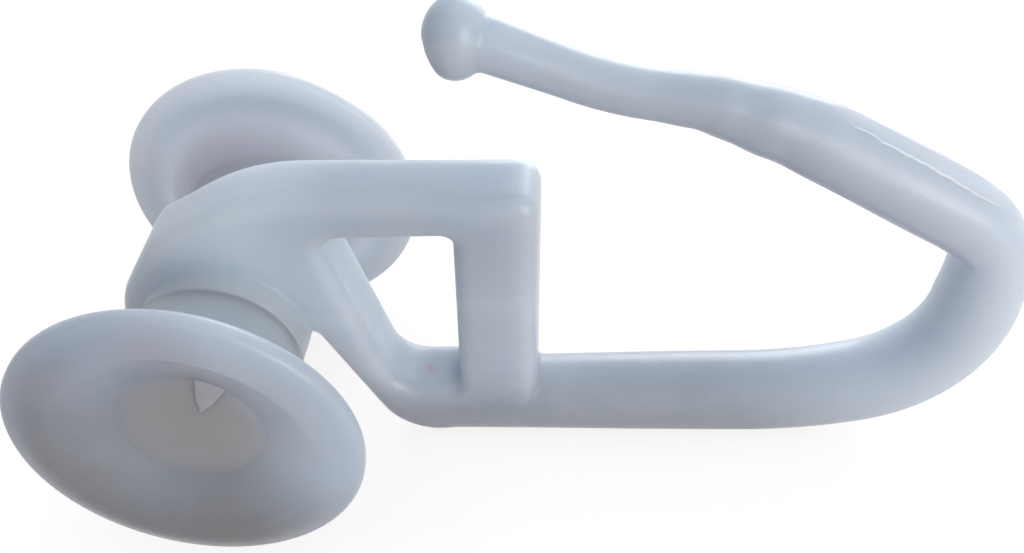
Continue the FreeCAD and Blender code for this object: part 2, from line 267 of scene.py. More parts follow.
def painted_dish_light_group() -> bpy.types.NodeTree:
    """Build the masks for painted shade on a wheel's dish floor round the axle and painted light on its rim
    outside it.

    Returns:
        The node group.
    """
    inputs = {"Floor Radius": 2.1, "Rim Radius": 4.4}
    graph, entry, leave = node_group("painted_dish_light", inputs, ("Floor Shade", "Rim Light"))
    place = graph.add("ShaderNodeVectorMath", operation="MULTIPLY")
    graph.tree.links.new(graph.add("ShaderNodeTexCoord").outputs["Object"], place.inputs[0])
    place.inputs[1].default_value = (1.0 / MM, 0.0, 1.0 / MM)
    reach = graph.add("ShaderNodeVectorMath", operation="LENGTH")
    graph.tree.links.new(place.outputs["Vector"], reach.inputs[0])
    past_floor = graph.math("SUBTRACT", reach.outputs["Value"], entry.outputs["Floor Radius"])
    past_rim = graph.math("SUBTRACT", reach.outputs["Value"], entry.outputs["Rim Radius"])
    graph.feed(leave, "Floor Shade", graph.ramp(past_floor, (-0.7, 1.0), (0.3, 0.0)))
    graph.feed(leave, "Rim Light", graph.ramp(past_rim, (-0.4, 0.0), (0.5, 1.0)))
    return graph.tree


@dataclass(frozen=True)
class Speck:
    """A coloured inclusion just under the skin."""

    centre: Triple
    radius: float
    colour: Colour
    core: float = 0.35
    strength: float = 0.8


@dataclass(frozen=True)
class PaintedLightFade:
    """Painted light or shade: a slow change of colour along one axis."""

    axis: Axis
    start: float
    end: float
    colour: Colour
    share: float


@dataclass(frozen=True)
class MilkyPlastic:
    """Natural translucent polymer, satin from the mould."""

    name: str
    pale: Colour
    cool: Colour
    warm: Colour
    gloss: Pair = (0.32, 0.44)
    milk: float = 1.0
    depth: float = 2.6
    spread: Colour = (1.0, 1.0, 1.1)
    ior: float = 1.49
    wave_depth: float = 0.03
    wave_strength: float = 0.35
    streak: float = 0.35
    mottle: float = 0.10
    floor_r: float = 2.1
    # floor and rim: painted shade on a wheel's dish floor and painted light on its rim
    floor: Colour | None = None
    rim: Colour | None = None
    floor_shade_share: float = 0.7
    rim_light_share: float = 0.5
    # painted light and shade, laid as slow fades along the axes
    painted_light_fades: tuple[PaintedLightFade, ...] = ()
    specks: tuple[Speck, ...] = ()

    def material(self) -> bpy.types.Material:
        """Build the material from the shared groups, once.

        Returns:
            The finished material.
        """
        known = bpy.data.materials.get(self.name)
        if known is not None:
            return known
        material = bpy.data.materials.new(self.name)
        material.use_nodes = True
        graph = Graph(material.node_tree)
        cloud = graph.add("ShaderNodeGroup", node_tree=bpy.data.node_groups["milk_cloud"])
        skin = graph.add("ShaderNodeGroup", node_tree=bpy.data.node_groups["mould_skin"])
        colour = graph.mix(cloud.outputs["Cloud"], self.cool, self.warm)
        colour = graph.mix(graph.math("MULTIPLY", cloud.outputs["Streak"], self.streak), colour, self.pale)
        colour = self.painted_light_and_shade(graph, colour)
        colour = self.dish_shade_and_rim_light(graph, colour)
        colour = graph.mix(graph.math("MULTIPLY", cloud.outputs["Mottle"], self.mottle), colour, self.pale)
        colour = self.specked(graph, colour)
        bump = graph.add("ShaderNodeBump", {"Height": skin.outputs["Height"]})
        graph.feed(bump, "Strength", self.wave_strength)
        graph.feed(bump, "Distance", self.wave_depth * MM)
        shader = graph.add("ShaderNodeBsdfPrincipled", {
            "Base Color": colour,
            "Roughness": graph.ramp(skin.outputs["Dullness"], (0.0, self.gloss[0]), (1.0, self.gloss[1])),
            "Normal": bump.outputs["Normal"],
            "IOR": self.ior,
            "Subsurface Weight": self.milk,
            "Subsurface Radius": self.spread,
            "Subsurface Scale": self.depth * MM,
        })
        graph.add("ShaderNodeOutputMaterial", {"Surface": shader.outputs["BSDF"]})
        return material

    def painted_light_and_shade(self, graph: Graph, colour: bpy.types.NodeSocket) -> bpy.types.NodeSocket:
        """Lay the painted light and shade, as slow fades along the axes, over a colour.

        Args:
            graph: The material's graph.
            colour: The colour so far.

        Returns:
            The colour with the painted light and shade.
        """
        spot = graph.add("ShaderNodeTexCoord").outputs["Object"]
        place = graph.add("ShaderNodeSeparateXYZ", {"Vector": spot})
        for fade in self.painted_light_fades:
            start = (fade.start * MM, 0.0)
            end = (fade.end * MM, fade.share)
            share = graph.ramp(place.outputs[fade.axis.value], start, end)
            colour = graph.mix(share, colour, fade.colour)
        return colour

    def dish_shade_and_rim_light(self, graph: Graph, colour: bpy.types.NodeSocket) -> bpy.types.NodeSocket:
        """Paint shade on a wheel's dish floor and light on its rim.

        Args:
            graph: The material's graph.
            colour: The colour so far.

        Returns:
            The colour with the painted shade and light.
        """
        if self.floor is None or self.rim is None:
            return colour
        dish_masks = graph.add("ShaderNodeGroup", node_tree=bpy.data.node_groups["painted_dish_light"])
        graph.feed(dish_masks, "Floor Radius", self.floor_r)
        floor_shade_share = graph.math("MULTIPLY", dish_masks.outputs["Floor Shade"], self.floor_shade_share)
        rim_light_share = graph.math("MULTIPLY", dish_masks.outputs["Rim Light"], self.rim_light_share)
        return graph.mix(rim_light_share, graph.mix(floor_shade_share, colour, self.floor), self.rim)

    def specked(self, graph: Graph, colour: bpy.types.NodeSocket) -> bpy.types.NodeSocket:
        """Lay the specks over a colour.

        Args:
            graph: The material's graph.
            colour: The colour so far.

        Returns:
            The colour with the specks.
        """
        place = graph.add("ShaderNodeTexCoord").outputs["Object"]
        for speck in self.specks:
            centre = tuple(value * MM for value in speck.centre)
            gap = graph.add("ShaderNodeVectorMath", operation="DISTANCE")
            graph.tree.links.new(place, gap.inputs[0])
            gap.inputs[1].default_value = centre
            core = (speck.radius * speck.core * MM, speck.strength)
            edge = (speck.radius * MM, 0.0)
            colour = graph.mix(graph.ramp(gap.outputs["Value"], core, edge), colour, speck.colour)
        return colour


HOOK_FINISH = MilkyPlastic(
    name="hook_milky_plastic",
    pale=(0.66, 0.71, 0.76),
    cool=(0.50, 0.58, 0.67),
    warm=(0.58, 0.62, 0.68),
    # painted light and shade on the hook: darker low down and along the shank past its middle, lighter at
    # the crook, darker towards the top, lighter on the hub
    painted_light_fades=(
        PaintedLightFade(Axis.Z, -1.5, -4.5, (0.36, 0.38, 0.41), 0.72),
        PaintedLightFade(Axis.X, 8.5, 12.0, (0.40, 0.42, 0.45), 0.36),
        PaintedLightFade(Axis.X, 14.5, 21.5, (0.70, 0.77, 0.86), 0.90),
        PaintedLightFade(Axis.Z, 0.5, 4.0, (0.44, 0.47, 0.49), 0.26),
        PaintedLightFade(Axis.X, 4.5, 0.8, (0.76, 0.82, 0.88), 0.7),
    ),
    specks=(
        Speck((5.78, -0.04, -2.97), 0.18, (0.60, 0.41, 0.52)),
        Speck((5.84, -0.22, -3.01), 0.17, (0.58, 0.44, 0.54)),
    ),
)

# the flash ridges are real; their near-white colour is a painted glint along the facet edges
FLASH_GLINT_FINISH = MilkyPlastic(
    name="trim_flash_glint_plastic",
    pale=(0.92, 0.95, 0.98),
    cool=(0.86, 0.91, 0.97),
    warm=(0.90, 0.93, 0.97),
    gloss=(0.31, 0.36),
    milk=0.0,
)

# the two gate stubs are one plastic: the front stub's darker copy is painted shade, the rear stub's lighter
# copy painted light
FRONT_GATE_SHADED_FINISH = MilkyPlastic(
    name="front_gate_stub_shaded_plastic",
    pale=(0.50, 0.49, 0.54),
    cool=(0.42, 0.425, 0.47),
    warm=(0.46, 0.445, 0.48),
    gloss=(0.34, 0.55),
    milk=0.0,
)

REAR_GATE_LIT_FINISH = MilkyPlastic(
    name="rear_gate_stub_lit_plastic",
    pale=(0.62, 0.63, 0.66),
    cool=(0.54, 0.55, 0.58),
    warm=(0.58, 0.58, 0.60),
    gloss=(0.34, 0.55),
    milk=0.0,
)

# the front wheel is a darker copy of the rear wheel's plastic: painted shade on the wheel turned from the
# light
FRONT_WHEEL_SHADED_FINISH = MilkyPlastic(
    name="front_wheel_shaded_milky_plastic",
    pale=(0.52, 0.55, 0.59),
    cool=(0.35, 0.40, 0.46),
    warm=(0.39, 0.395, 0.41),
    gloss=(0.31, 0.38),
    streak=0.15,
    mottle=0.05,
    # painted light and shade: lighter to the right, darker to the left and low down, lighter on the collar
    painted_light_fades=(
        PaintedLightFade(Axis.X, 0.3, 2.6, (0.60, 0.69, 0.78), 0.50),
        PaintedLightFade(Axis.X, -0.8, -4.6, (0.17, 0.16, 0.16), 0.65),
        PaintedLightFade(Axis.Z, -0.8, -4.6, (0.18, 0.15, 0.13), 0.75),
        PaintedLightFade(Axis.Y, -4.9, -3.2, (0.64, 0.70, 0.77), 0.85),
    ),
    # painted shade on the dish floor and painted light on the rim
    floor=(0.42, 0.39, 0.40),
    rim=(0.38, 0.43, 0.50),
)

# the rear wheel is the lighter, lit copy of the same plastic: painted light
REAR_WHEEL_LIT_FINISH = MilkyPlastic(
    name="rear_wheel_lit_milky_plastic",
    pale=(0.74, 0.79, 0.85),
    cool=(0.64, 0.71, 0.79),
    warm=(0.67, 0.71, 0.76),
    gloss=(0.31, 0.36),
    streak=0.10,
    mottle=0.03,
    # painted shade: darker towards the top
    painted_light_fades=(PaintedLightFade(Axis.Z, 1.5, 4.6, (0.40, 0.45, 0.51), 0.60),),
    # painted shade round the axle, on the dish and the hollow by the collar, and painted light on the rim
    floor_r=3.5,
    floor=(0.56, 0.54, 0.57),
    rim=(0.72, 0.79, 0.87),
)


def mesh_object(name: str, mesh: bpy.types.Mesh) -> bpy.types.Object:
    """Put a mesh in the scene as a smooth-shaded object.

    Args:
        name: Name of the object.
        mesh: The mesh, in metres.

    Returns:
        The new object.
    """
    piece = bpy.data.objects.new(name, mesh)
    bpy.context.scene.collection.objects.link(piece)
    for polygon in mesh.polygons:
        polygon.use_smooth = True
    return piece


def from_bmesh(name: str, shape: bmesh.types.BMesh) -> bpy.types.Object:
    """Turn a bmesh in millimetres into an object in metres, with its faces turned outwards.

    Args:
        name: Name of the object.
        shape: The bmesh, which is freed.

    Returns:
        The new object.
    """
    bmesh.ops.recalc_face_normals(shape, faces=shape.faces[:])
    bmesh.ops.scale(shape, vec=(MM, MM, MM), verts=shape.verts[:])
    mesh = bpy.data.meshes.new(name)
    shape.to_mesh(mesh)
    shape.free()
    return mesh_object(name, mesh)


def skin_rings(shape: bmesh.types.BMesh, rings: Sequence[Sequence[Vector]]) -> None:
    """Skin closed rings of equal count into a tube with closed ends.

    Args:
        shape: The bmesh to add to.
        rings: Points of each ring, in order along the tube.
    """
    rows = [[shape.verts.new(point) for point in ring] for ring in rings]
    count = len(rows[0])
    for lower, upper in zip(rows, rows[1:]):
        for k in range(count):
            follow = (k + 1) % count
            shape.faces.new((lower[k], lower[follow], upper[follow], upper[k]))
    shape.faces.new(rows[0])
    shape.faces.new(rows[-1])


def turn_profile(shape: bmesh.types.BMesh, profile: Sequence[Pair], segments: int) -> None:
    """Turn a profile of radius and height about the Y axis.

    Args:
        shape: The bmesh to add to.
        profile: Radius and Y of each point; the ends lie on the axis.
        segments: Steps round the axis.
    """
    rows: list[list[bmesh.types.BMVert]] = []
    for radius, height in profile:
        if radius < 1e-6:
            rows.append([shape.verts.new((0.0, height, 0.0))])
            continue
        turns = (2.0 * math.pi * k / segments for k in range(segments))
        rows.append([shape.verts.new((radius * math.cos(a), height, radius * math.sin(a))) for a in turns])
    for lower, upper in zip(rows, rows[1:]):
        for k in range(segments):
            follow = (k + 1) % segments
            places = ((lower, k), (lower, follow), (upper, follow), (upper, k))
            corners = [row[index % len(row)] for row, index in places]
            distinct = list(dict.fromkeys(corners))
            if len(distinct) > 2:
                shape.faces.new(distinct)


def rounded_corner(before: Pair, corner: Pair, after: Pair, radius: float, steps: int = 8) -> list[Pair]:
    """Replace a corner of an outline by an arc.

    Args:
        before: Point before the corner.
        corner: The corner.
        after: Point after the corner.
        radius: Radius of the arc; 0 keeps the corner.
        steps: Steps along the arc.

    Returns:
        Points of the arc, or the corner itself.
    """
    tip = Vector(corner)
    back = (Vector(before) - tip).normalized()
    ahead = (Vector(after) - tip).normalized()
    opening = back.angle(ahead)
    if radius <= 0.0 or opening > math.pi - 1e-3:
        return [corner]
    middle = tip + (back + ahead).normalized() * (radius / math.sin(opening / 2.0))
    start = tip + back * (radius / math.tan(opening / 2.0)) - middle
    end = tip + ahead * (radius / math.tan(opening / 2.0)) - middle
    sweep = start.angle_signed(end)
    points = []
    for k in range(steps + 1):
        angle = -sweep * k / steps
        turned = Vector((
            start.x * math.cos(angle) - start.y * math.sin(angle),
            start.x * math.sin(angle) + start.y * math.cos(angle),
        ))
        points.append((middle.x + turned.x, middle.y + turned.y))
    return points


def rounded_outline(corners: Sequence[Triple], closed: bool) -> list[Pair]:
    """Round the corners of an outline.

    Args:
        corners: Two coordinates and the radius of each corner.
        closed: Whether the last corner joins the first.

    Returns:
        Points of the rounded outline.
    """
    points: list[Pair] = []
    count = len(corners)
    for index, (across, up, radius) in enumerate(corners):
        if not closed and index in (0, count - 1):
            points.append((across, up))
            continue
        before = corners[index - 1][:2]
        after = corners[(index + 1) % count][:2]
        points.extend(rounded_corner(before, (across, up), after, radius))
    return points


def divided(points: Sequence[Pair], step: float) -> list[Pair]:
    """Divide the long stretches of an open outline.

    Args:
        points: Points of the outline.
        step: Longest stretch to leave.

    Returns:
        The outline with points added on its long stretches.
    """
    out = [points[0]]
    for first, last in zip(points, points[1:]):
        count = max(1, math.ceil(math.dist(first, last) / step))
        for k in range(1, count + 1):
            share = k / count
            out.append((first[0] + (last[0] - first[0]) * share, first[1] + (last[1] - first[1]) * share))
    return out


def joined(name: str, parts: Sequence[bpy.types.Object]) -> bpy.types.Object:
    """Join several objects at the origin into one mesh object.

    Args:
        name: Name of the joined object.
        parts: The objects, which are removed.

    Returns:
        The joined object.
    """
    whole = bmesh.new()
    for part in parts:
        whole.from_mesh(part.data)
        bpy.data.objects.remove(part)
    mesh = bpy.data.meshes.new(name)
    whole.to_mesh(mesh)
    whole.free()
    return mesh_object(name, mesh)


def applied(piece: bpy.types.Object) -> bpy.types.Object:
    """Apply a piece's modifiers to its mesh.

    Args:
        piece: The object with modifiers.

    Returns:
        The same object with its final mesh.
    """
    graph = bpy.context.evaluated_depsgraph_get()
    mesh = bpy.data.meshes.new_from_object(piece.evaluated_get(graph))
    piece.modifiers.clear()
    piece.data = mesh
    for polygon in mesh.polygons:
        polygon.use_smooth = True
    return piece


@dataclass(frozen=True)
class Stretch:
    """One element of the rod's centre line: a straight run, or a bend where it turns."""

    size: float
    turn: float
    thickness: float
    sharp_inside: bool = False

    @property
    def length(self) -> float:
        """Length along the centre line."""
        return self.size if self.turn == 0.0 else self.size * math.radians(abs(self.turn))

    def count(self, step: float) -> int:
        """Number of steps of about the given size along it."""
        return max(LEAST_STEPS, round(self.length / step))


@dataclass(frozen=True)
class Ripple:
    """A fixed irregular wave along an edge."""

    per_mm: float
    aside: float
    seed: float
    height: float

    def at(self, along: float, side: float) -> float:
        """Offset of the edge at a place along it, on one side of the piece."""
        return noise.noise(Vector((along * self.per_mm, side * self.aside, self.seed))) * self.height


@dataclass(frozen=True)
class Station:
    """A place on the rod's centre line."""

    point: Vector
    heading: float
    thickness: float
    pinch: float

    @property
    def along(self) -> Vector:
        """Direction of travel."""
        return Vector((math.cos(self.heading), 0.0, math.sin(self.heading)))

    @property
    def left(self) -> Vector:
        """Direction to the left of travel, towards the inside of the hook."""
        return Vector((-math.sin(self.heading), 0.0, math.cos(self.heading)))


@dataclass
class HookMoulding:
    """The one-piece hook: eye plate, rod, bulb, bosses and the stubs inside the wheels."""

    plate_t: float = 2.3
    plate_edge: float = 0.5
    plate_edge_steps: int = 5
    weld: float = 0.002
    hub_r: float = 3.2
    hub_steps: int = 48
    hub_x: float = -0.05
    hub_z: float = -0.1
    shoulder_x: float = -1.6
    shoulder_z: float = 3.25
    shoulder_r: float = 1.2
    crest_deg: float = 28.0
    crest_r: float = 6.0
    bar_top: float = 4.9
    bar_fall: float = 0.25
    bar_h: float = 1.6
    arm_off: float = 2.3
    arm_deg: float = 23.0
    armpit_r: float = 0.18
    armpit_deg: float = 33.0
    heel_r: float = 2.0
    toe_rise: float = 0.45
    eye_left: float = 3.45
    eye_deg: float = 12.5
    eye_floor: float = 3.02
    eye_corner_r: float = 0.55
    eye_heel_r: float = 1.1
    eye_post_r: float = 0.3
    post_x: float = 7.98
    post_w: float = 2.45
    post_deg: float = 4.5
    post_corner_r: float = 0.6
    shank_x: float = 5.9
    shank_z: float = -4.27
    root_d: float = 2.4
    stretches: tuple[Stretch, ...] = (
        Stretch(9.9, 0.0, 2.56),
        Stretch(14.0, 15.0, 2.58),
        Stretch(4.0, 69.0, 2.48),
        Stretch(0.75, 0.0, 2.40),
        Stretch(3.0, 63.5, 2.24, sharp_inside=True),
        Stretch(4.25, 0.0, 2.10),
        Stretch(9.0, 10.0, 1.92),
        Stretch(1.3, 0.0, 1.66),
        Stretch(5.0, 10.5, 1.46),
        Stretch(1.1, 0.0, 1.36),
        Stretch(9.3, -13.0, 1.36),
        Stretch(2.5, 0.0, 1.46),
    )
    crook: int = 4
    facet_cut: float = 0.17
    facet_deg: float = 0.9
    facet_from: float = -2.4
    facet_to: float = 5.0
    flash_start: float = -0.9
    flash_end: float = 4.4
    flash_wide: float = 0.58
    flash_narrow: float = 0.36
    flash_r: float = 0.04
    flash_flat: float = 1.3
    flash_drop: float = 3.0
    flash_steps: int = 120
    flash_sides: int = 8
    flash_ripples: tuple[Ripple, ...] = (Ripple(2.1, 3.0, 0.4, 0.06), Ripple(7.0, 7.0, 2.1, 0.03))
    bulb_middle: Triple = (8.07, 0.0, 9.10)
    bulb_tall: float = 1.12
    bulb_deep: float = 0.95
    bulb_long: float = 0.88
    bulb_lean: float = 8.0
    bulb_face_deg: float = 17.6
    bulb_face_out: float = 0.72
    bulb_face_press: float = 0.85
    bulb_cells: tuple[int, int] = (64, 48)
    boss_r: float = 2.52
    boss_out: float = 1.97
    boss_edge: float = 0.03
    boss_sides: int = 128
    flank_share: float = 1.03
    axle_r: float = 1.0
    barb_h: float = 0.26
    barb_out: float = 3.85
    barb_len: float = 0.45
    barb_edge: float = 0.04
    tip_cut: float = 0.1
    tip_edge: float = 0.08
    voxel: float = 0.092
    melt_share: float = 0.5
    melt_rounds: int = 5
    step: float = 0.12
    sides: int = 64
    root_cells: tuple[int, int] = (48, 32)
    stations: list[Station] = field(default_factory=list)

    def build(self) -> bpy.types.Object:
        """Build the moulding as one smooth skin.

        Returns:
            The finished piece.
        """
        self.stations = self.walk()
        parts = [self.plate(), self.rod(), self.bulb(), self.bosses(), self.stubs()]
        piece = joined("hook_moulding", parts)
        remesh = piece.modifiers.new("one_skin", "REMESH")
        remesh.mode = "VOXEL"
        remesh.voxel_size = self.voxel * MM
        smooth = piece.modifiers.new("melt", "SMOOTH")
        smooth.factor = self.melt_share
        smooth.iterations = self.melt_rounds
        self.dress(applied(piece))
        return piece

    def dress(self, piece: bpy.types.Object) -> None:
        """Give the piece its finish and its place in the part.

        Args:
            piece: The hook's finished mesh.
        """
        piece.data.materials.append(HOOK_FINISH.material())
        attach(piece, Body.HOOK.value)
        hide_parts(Body.HOOK.value)

    def walk(self) -> list[Station]:
        """Follow the centre line in small steps.

        Returns:
            The stations from the root to the tip.
        """
        point = Vector((self.shank_x, 0.0, self.shank_z))
        heading = 0.0
        thickness = self.root_d
        stations = [Station(point.copy(), heading, thickness, 1.0)]
        for stretch in self.stretches:
            turn = math.radians(stretch.turn)
            count = stretch.count(self.step)
            for k in range(1, count + 1):
                half = turn / count / 2.0
                chord = 2.0 * stretch.size * math.sin(abs(half)) if half else stretch.length / count
                heading += half
                point = point + Vector((math.cos(heading), 0.0, math.sin(heading))) * chord
                heading += half
                ease = 0.5 - 0.5 * math.cos(math.pi * k / count)
                here = thickness + (stretch.thickness - thickness) * ease
                pinch = self.pinch(stretch, here, k / count) if stretch.sharp_inside else 1.0
                stations.append(Station(point.copy(), heading, here, pinch))
            thickness = stretch.thickness
        return stations

    def pinch(self, stretch: Stretch, thickness: float, share: float) -> float:
        """Find how far the inside of a sharp bend is cut back to a corner.

        Args:
            stretch: The bend.
            thickness: Thickness of the rod there.
            share: How far along the bend, 0 to 1.

        Returns:
            Share of the inner half thickness that is left.
        """
        inner = stretch.size - thickness / 2.0
        from_end = math.radians(stretch.turn) * min(share, 1.0 - share)
        return (stretch.size - inner / math.cos(from_end)) / (thickness / 2.0)

    def bend_end(self) -> Station:
        """Find the station where the crook ends and the prong begins.

        Returns:
            The station.
        """
        walked = self.stretches[:self.crook + 1]
        return self.stations[sum(stretch.count(self.step) for stretch in walked)]

    def facet_height(self, along: float) -> float:
        """Height of the trimmed facet over the prong's centre line, at a place along the prong."""
        start = self.bend_end().thickness / 2.0 - self.facet_cut
        return start + along * math.tan(math.radians(self.facet_deg))

    def rod(self) -> bpy.types.Object:
        """Skin the rod along its centre line, with the facet trimmed on the outside of the crook.

        Returns:
            The rod.
        """
        shape = bmesh.new()
        foot = self.bend_end()
        rings = []
        for station in self.stations:
            ring = []
            for k in range(self.sides):
                turn = 2.0 * math.pi * k / self.sides
                inward = math.cos(turn) * station.thickness / 2.0
                inward *= station.pinch if inward > 0.0 else 1.0
                across = Vector((0.0, math.sin(turn) * station.thickness / 2.0, 0.0))
                ring.append(self.trimmed(foot, station.point + station.left * inward + across))
            rings.append(ring)
        skin_rings(shape, rings)
        root = self.stations[0]
        around, down = self.root_cells
        ball = bmesh.ops.create_uvsphere(
            shape, u_segments=around, v_segments=down, radius=root.thickness / 2.0)
        bmesh.ops.translate(shape, vec=root.point, verts=ball["verts"])
        return from_bmesh("rod", shape)

    def trimmed(self, foot: Station, point: Vector) -> Vector:
        """Press a point of the rod down to the facet where it stands above it.

        Args:
            foot: Station where the prong begins.
            point: The point.

        Returns:
            The point on or below the facet.
        """
        along = (point - foot.point).dot(foot.along)
        above = (point - foot.point).dot(-foot.left) - self.facet_height(along)
        if above <= 0.0 or not self.facet_from < along < self.facet_to:
            return point
        return point + foot.left * above

    def rim(self) -> list[Pair]:
        """Outline of the plate: bar, shoulder, hub disc, arm, heel and post.

        Returns:
            Points of the outline in X and Z.
        """
        lean = math.radians(self.arm_deg)
        tilt = math.tan(math.radians(self.post_deg))
        crest_run = (self.bar_top - self.shoulder_z) / math.tan(math.radians(self.crest_deg))
        crest_x = self.shoulder_x + crest_run
        bar_end = self.bar_top - self.bar_fall
        run = math.sqrt(self.boss_r ** 2 - self.arm_off ** 2)
        arm_x = self.arm_off * math.cos(lean) + run * math.sin(lean)
        arm_z = self.arm_off * math.sin(lean) - run * math.cos(lean)
        base = -self.shank_z + self.root_d / 2.0
        heel_x = self.arm_off / math.cos(lean) + base * math.tan(lean)
        post_left = self.post_x - self.post_w / 2.0
        post_right = self.post_x + self.post_w / 2.0
        out_x = self.shoulder_x - self.hub_x
        out_z = self.shoulder_z - self.hub_z
        start = math.atan2(out_z, out_x) + math.acos(self.hub_r / math.hypot(out_x, out_z))
        end = 2.0 * math.pi - math.radians(2.0 * self.armpit_deg)
        arc = []
        for k in range(self.hub_steps + 1):
            turn = start + (end - start) * k / self.hub_steps
            across = self.hub_x + self.hub_r * math.cos(turn)
            arc.append((across, self.hub_z + self.hub_r * math.sin(turn), 0.0))
        pit = math.radians(self.armpit_deg)
        flank = self.boss_r * self.flank_share
        corners = [
            (post_right + (bar_end - self.shank_z) * tilt, bar_end, self.post_corner_r),
            (crest_x, self.bar_top, self.crest_r),
            (self.shoulder_x, self.shoulder_z, self.shoulder_r),
            *arc,
            (flank * math.cos(pit), -flank * math.sin(pit), self.boss_r / 2.0),
            (arm_x, arm_z, self.armpit_r),
            (heel_x, -base, self.heel_r),
            (post_left, self.toe_rise - base, 0.0),
            (post_left, self.shank_z, 0.0),
            (post_right, self.shank_z, 0.0),
        ]
        return rounded_outline(corners, closed=True)

    def eye(self) -> list[Pair]:
        """Outline of the eye between bar, post, shank and arm.

        Returns:
            Points of the outline in X and Z.
        """
        tilt = math.tan(math.radians(self.post_deg))
        post_left = self.post_x - self.post_w / 2.0
        top = self.bar_top - self.bar_h
        low_x = self.eye_left + (top + self.eye_floor) * math.tan(math.radians(self.eye_deg))
        return rounded_outline([
            (self.eye_left, top, self.eye_corner_r),
            (post_left + (top - self.shank_z) * tilt, top, self.eye_post_r),
            (post_left + (-self.eye_floor - self.shank_z) * tilt, -self.eye_floor, self.eye_post_r),
            (low_x, -self.eye_floor, self.eye_heel_r),
        ], closed=True)

    def plate(self) -> bpy.types.Object:
        """Fill the plate's outlines, give them thickness and round their edges.

        Returns:
            The plate.
        """
        curve = bpy.data.curves.new("plate_outline", "CURVE")
        curve.dimensions = "2D"
        curve.fill_mode = "BOTH"
        curve.extrude = self.plate_t / 2.0 - self.plate_edge
        curve.bevel_depth = self.plate_edge
        curve.offset = -self.plate_edge
        curve.bevel_resolution = self.plate_edge_steps
        for points in (self.rim(), self.eye()):
            spline = curve.splines.new("POLY")
            spline.points.add(len(points) - 1)
            spline.use_cyclic_u = True
            for place, (across, up) in zip(spline.points, points):
                place.co = (across, up, 0.0, 1.0)
        drawn = bpy.data.objects.new("plate_outline", curve)
        bpy.context.scene.collection.objects.link(drawn)
        graph = bpy.context.evaluated_depsgraph_get()
        mesh = bpy.data.meshes.new_from_object(drawn.evaluated_get(graph))
        bpy.data.objects.remove(drawn)
        shape = bmesh.new()
        shape.from_mesh(mesh)
        bmesh.ops.remove_doubles(shape, verts=shape.verts[:], dist=self.weld)
        upright = Euler((math.pi / 2.0, 0.0, 0.0)).to_matrix()
        bmesh.ops.rotate(shape, cent=(0.0, 0.0, 0.0), matrix=upright, verts=shape.verts[:])
        return from_bmesh("plate", shape)

    def bulb(self) -> bpy.types.Object:
        """Shape the bulb at the tip: a tall egg with a slanting flat nose.

        Returns:
            The bulb.
        """
        shape = bmesh.new()
        around, down = self.bulb_cells
        ball = bmesh.ops.create_uvsphere(shape, u_segments=around, v_segments=down, radius=1.0)["verts"]
        lean = math.radians(self.bulb_lean)
        slant = math.radians(self.bulb_face_deg)
        face = Vector((-math.cos(slant), 0.0, -math.sin(slant)))
        for vert in ball:
            tall = vert.co.z * self.bulb_tall
            long = vert.co.x * self.bulb_long
            place = Vector((
                long * math.cos(lean) + tall * math.sin(lean),
                vert.co.y * self.bulb_deep,
                tall * math.cos(lean) - long * math.sin(lean),
            ))
            proud = place.dot(face) - self.bulb_face_out
            if proud > 0.0:
                place -= face * proud * self.bulb_face_press
            vert.co = place + Vector(self.bulb_middle)
        return from_bmesh("bulb", shape)

    def bosses(self) -> bpy.types.Object:
        """Turn the two bosses that stand from the hub towards the wheels.

        Returns:
            The bosses.
        """
        shape = bmesh.new()
        turn_profile(shape, rounded_outline([
            (0.0, -self.boss_out, 0.0),
            (self.boss_r, -self.boss_out, self.boss_edge),
            (self.boss_r, self.boss_out, self.boss_edge),
            (0.0, self.boss_out, 0.0),
        ], closed=False), self.boss_sides)
        return from_bmesh("bosses", shape)

    def stubs(self) -> bpy.types.Object:
        """Turn the barbed axle stubs that hold the wheels.

        Returns:
            The stubs.
        """
        shape = bmesh.new()
        tip = self.barb_out + self.barb_len
        rear = [
            (self.axle_r, self.barb_out, 0.0),
            (self.axle_r + self.barb_h, self.barb_out, self.barb_edge),
            (self.axle_r - self.tip_cut, tip, self.tip_edge),
            (0.0, tip, 0.0),
        ]
        front = [(radius, -out, edge) for radius, out, edge in reversed(rear)]
        turn_profile(shape, rounded_outline(front + rear, closed=False), self.sides)
        return from_bmesh("stubs", shape)

    def trim_flash(self, skin: bpy.types.Object) -> bpy.types.Object:
        """Lay the thin wavy ridges that trimming left along both edges of the facet.

        Args:
            skin: The finished moulding that the ridges lie on.

        Returns:
            The ridges as one piece.
        """
        ground = bmesh.new()
        ground.from_mesh(skin.data)
        tree = BVHTree.FromBMesh(ground)
        ground.free()
        foot = self.bend_end()
        shape = bmesh.new()
        for side in (-1.0, 1.0):
            rings = []
            for k in range(self.flash_steps + 1):
                share = k / self.flash_steps
                along = self.flash_start + (self.flash_end - self.flash_start) * share
                half = self.flash_wide + (self.flash_narrow - self.flash_wide) * share
                for ripple in self.flash_ripples:
                    half += ripple.at(along, side)
                above = foot.point + foot.along * along - foot.left * self.flash_drop
                above = above + Vector((0.0, side * half, 0.0))
                place = tree.ray_cast(above * MM, foot.left)[0]
                if place is None:
                    continue
                thick = self.flash_r * math.sin(math.pi * (k + 0.5) / (self.flash_steps + 1)) ** 0.5
                ring = []
                for j in range(self.flash_sides):
                    turn = 2.0 * math.pi * j / self.flash_sides
                    aside = Vector((0.0, math.cos(turn) * thick * self.flash_flat, 0.0))
                    lift = aside - foot.left * math.sin(turn) * thick
                    ring.append(place / MM + lift)
                rings.append(ring)
            skin_rings(shape, rings)
        piece = from_bmesh("trim_flash", shape)
        piece.data.materials.append(FLASH_GLINT_FINISH.material())
        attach(piece, Body.HOOK.value)
        return piece


